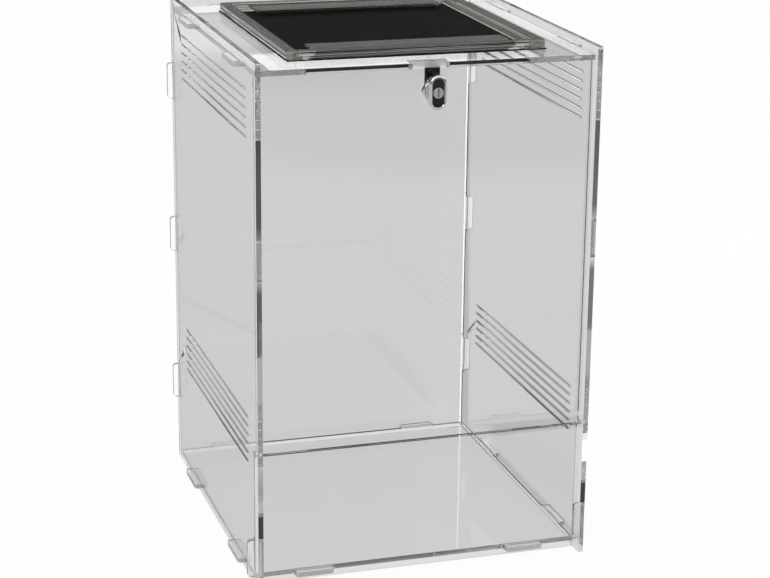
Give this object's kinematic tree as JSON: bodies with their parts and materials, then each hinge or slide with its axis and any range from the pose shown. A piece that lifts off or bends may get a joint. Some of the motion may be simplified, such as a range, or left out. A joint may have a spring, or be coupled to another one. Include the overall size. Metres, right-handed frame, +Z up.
{
  "type": "reptile terrarium",
  "caption": "Clear acrylic reptile terrarium of tab-and-slot panels, with a lockable drop-down front door and a mesh vent lid.",
  "frame": {"origin": "on the table under the middle of the enclosure, tabs and lock included", "axes": "+Z up, -Y out of the front door, +X to the right as seen from the front"},
  "size_m": [0.312, 0.332, 0.4605],
  "materials": {
    "clear_acrylic": "clear cast acrylic, polished faces and edges",
    "black_mesh": "fine black insect mesh",
    "lock_chrome": "bright chrome plate",
    "bright_steel": "zinc-bright steel",
    "wafer_brass": "stamped brass",
    "cam_black": "black coated steel"
  },
  "bodies": {
    "enclosure": {"left_side_panel": "clear_acrylic", "right_side_panel": "clear_acrylic", "back_panel": "clear_acrylic", "floor_panel": "clear_acrylic", "lower_front_panel": "clear_acrylic", "top_panel": "clear_acrylic", "vent_mesh": "black_mesh", "vent_lower_frame": "clear_acrylic", "vent_upper_frame": "clear_acrylic", "vent_bar_front": "clear_acrylic", "vent_bar_rear": "clear_acrylic"},
    "door": {"front_door": "clear_acrylic", "lock_rose": "lock_chrome", "lock_washer": "bright_steel", "lock_nut": "bright_steel"},
    "lock_turner": {"lock_turn_head": "lock_chrome", "lock_key_plug": "lock_chrome", "lock_wafers": "wafer_brass", "lock_cam": "cam_black", "cam_washer": "bright_steel", "cam_screw": "bright_steel"}
  },
  "joints": [
    {"name": "door_hinge", "type": "hinge", "parent": "enclosure", "child": "door", "pos_m": [0, -0.15325, 0.12175], "axis": [1, 0, 0], "range_deg": [0, 110]},
    {"name": "lock_turn", "type": "hinge", "parent": "door", "child": "lock_turner", "pos_m": [0.005, -0.15, 0.428], "axis": [0, -1, 0], "range_deg": [0, 90]}
  ]
}
